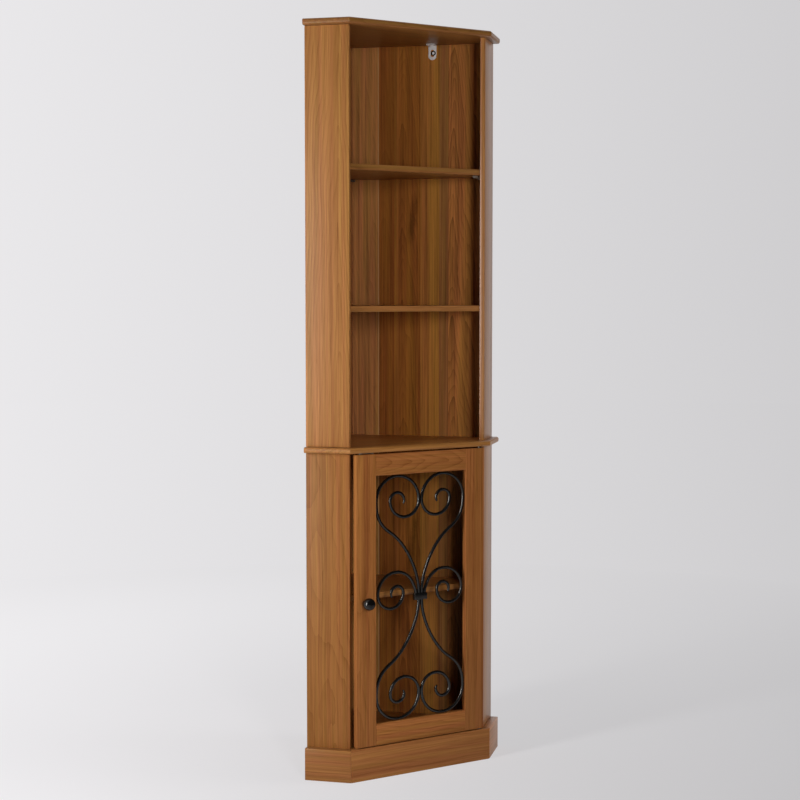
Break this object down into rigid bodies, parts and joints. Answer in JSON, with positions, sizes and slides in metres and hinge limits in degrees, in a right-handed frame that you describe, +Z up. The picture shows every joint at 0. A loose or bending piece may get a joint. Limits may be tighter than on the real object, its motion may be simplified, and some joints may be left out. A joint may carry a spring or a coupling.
{
  "type": "corner cupboard",
  "caption": "Tall wooden corner cupboard with open shelves above a framed door filled with black iron scrollwork.",
  "frame": {"origin": "on the floor, in the middle of the cupboard's width and of its depth from the knob to the rear corner", "axes": "+Z up; the door and the open shelves face -Y, the rear corner of the room lies on +Y, +X is to the right seen from the front"},
  "size_m": [0.567, 0.396, 1.82],
  "materials": {
    "carcase_wood": "satin-lacquered solid boards, warm brown, long straight grain",
    "back_sheet_wood": "thin sheet with a wood-grain face and printed plank lines",
    "door_wood": "satin-lacquered door frame, warm brown",
    "hidden_wood": "bare pale wood",
    "black_iron": "semi-gloss black paint on wrought iron",
    "zinc_plate": "bright zinc plate",
    "bright_steel": "bright steel",
    "brass_bush": "turned brass",
    "brown_plastic": "moulded plastic, grey-brown",
    "beige_plastic": "moulded plastic, beige-grey"
  },
  "bodies": {
    "cabinet": {"top_board": "carcase_wood", "waist_board": "carcase_wood", "floor_board": "carcase_wood", "upper_left_side": "carcase_wood", "upper_right_side": "carcase_wood", "lower_left_side": "carcase_wood", "lower_right_side": "carcase_wood", "upper_shelf": "carcase_wood", "middle_shelf": "carcase_wood", "lower_shelf": "carcase_wood", "plinth_front": "carcase_wood", "plinth_left": "carcase_wood", "plinth_right": "carcase_wood", "upper_left_back": "back_sheet_wood", "upper_right_back": "back_sheet_wood", "lower_left_back": "back_sheet_wood", "lower_right_back": "back_sheet_wood", "upper_corner_post": "hidden_wood", "lower_corner_post": "hidden_wood", "middle_dowel_left_1": "hidden_wood", "middle_dowel_left_2": "hidden_wood", "middle_dowel_right_1": "hidden_wood", "middle_dowel_right_2": "hidden_wood", "wall_bracket": "zinc_plate", "bracket_screw": "zinc_plate", "hinge_pin_top": "bright_steel", "hinge_pin_bottom": "bright_steel", "catch_magnet": "bright_steel", "upper_support_left_1": "brown_plastic", "upper_support_left_2": "brown_plastic", "upper_support_right_1": "brown_plastic", "upper_support_right_2": "brown_plastic", "upper_support_rear": "brown_plastic", "lower_support_left": "brown_plastic", "lower_support_right": "brown_plastic", "lower_support_rear": "brown_plastic", "magnetic_catch": "beige_plastic"},
    "door": {"door_left_stile": "door_wood", "door_right_stile": "door_wood", "door_top_rail": "door_wood", "door_bottom_rail": "door_wood", "scroll_left": "black_iron", "scroll_right": "black_iron", "side_curl_left": "black_iron", "side_curl_right": "black_iron", "scroll_collar": "black_iron", "door_knob": "black_iron", "knob_screw": "bright_steel", "catch_plate": "zinc_plate", "hinge_bush_top": "brass_bush", "hinge_bush_bottom": "brass_bush", "door_dowel_top_left": "hidden_wood", "door_dowel_bottom_left": "hidden_wood", "door_dowel_top_right": "hidden_wood", "door_dowel_bottom_right": "hidden_wood", "scroll_pin_top_left": "bright_steel", "scroll_pin_bottom_left": "bright_steel", "scroll_pin_top_right": "bright_steel", "scroll_pin_bottom_right": "bright_steel"}
  },
  "joints": [
    {"name": "door_hinge", "type": "hinge", "parent": "cabinet", "child": "door", "pos_m": [0.174, -0.15704, 0.436], "axis": [0, 0, 1], "range_deg": [0, 140]}
  ]
}
